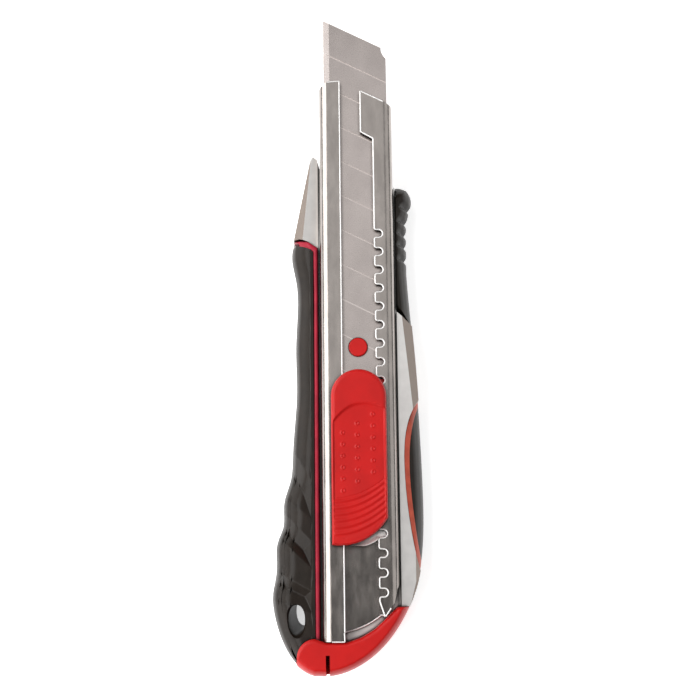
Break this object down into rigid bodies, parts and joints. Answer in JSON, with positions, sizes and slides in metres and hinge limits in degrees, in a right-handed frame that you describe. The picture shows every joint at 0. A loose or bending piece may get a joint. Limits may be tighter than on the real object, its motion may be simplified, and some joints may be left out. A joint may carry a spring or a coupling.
{
  "type": "utility knife",
  "caption": "Snap-off utility knife: steel channel with toothed lip, auto-lock thumb slider, cast handle with soft grips, pull-off end cap and spare blades inside.",
  "frame": {"origin": "on the flat back face and the channel's centre line, level with the tail hole of the stored blade to within half a millimetre", "axes": "+Y along the blade towards its point, +Z out of the back towards the slider, +X towards the thumb grip"},
  "size_m": [0.0417, 0.1849, 0.0203],
  "materials": {
    "die_cast": "satin die casting",
    "black_soft_grip": "matt soft moulding",
    "red_soft_trim": "matt soft moulding",
    "orange_soft_trim": "matt soft moulding",
    "red_plastic": "semi-gloss moulding",
    "channel_steel": "drawn sheet",
    "blade_steel": "ground",
    "spring_steel": "bright strip",
    "screw_steel": "nickel plated",
    "tray_plastic": "moulded"
  },
  "bodies": {
    "handle": {"handle_body": "die_cast", "back_shell": "die_cast", "finger_grip": "black_soft_grip", "finger_grip_trim": "red_soft_trim", "thumb_grip": "black_soft_grip", "palm_inlay": "black_soft_grip", "palm_inlay_trim": "orange_soft_trim", "guide_channel": "channel_steel", "channel_rivets": "channel_steel", "back_screws": "screw_steel", "blade_tray": "tray_plastic", "magazine_spring": "spring_steel", "spare_blade_1": "blade_steel", "spare_blade_2": "blade_steel", "spare_blade_3": "blade_steel"},
    "carrier": {"blade": "blade_steel", "blade_carrier": "red_plastic", "lock_spring": "spring_steel"},
    "slider": {"thumb_slider": "red_plastic"},
    "cap": {"end_cap": "red_plastic"}
  },
  "joints": [
    {"name": "carrier_slide", "type": "slide", "parent": "handle", "child": "carrier", "axis": [0, 1, 0], "range_m": [-0.0208, 0.0572], "deforming": ["lock_spring"]},
    {"name": "slider_play", "type": "slide", "parent": "carrier", "child": "slider", "axis": [0, 1, 0], "range_m": [-0.001, 0.001], "stiffness_N_per_m": 400},
    {"name": "cap_pull", "type": "slide", "parent": "handle", "child": "cap", "axis": [0, -1, 0], "range_m": [0, 0.025]}
  ]
}
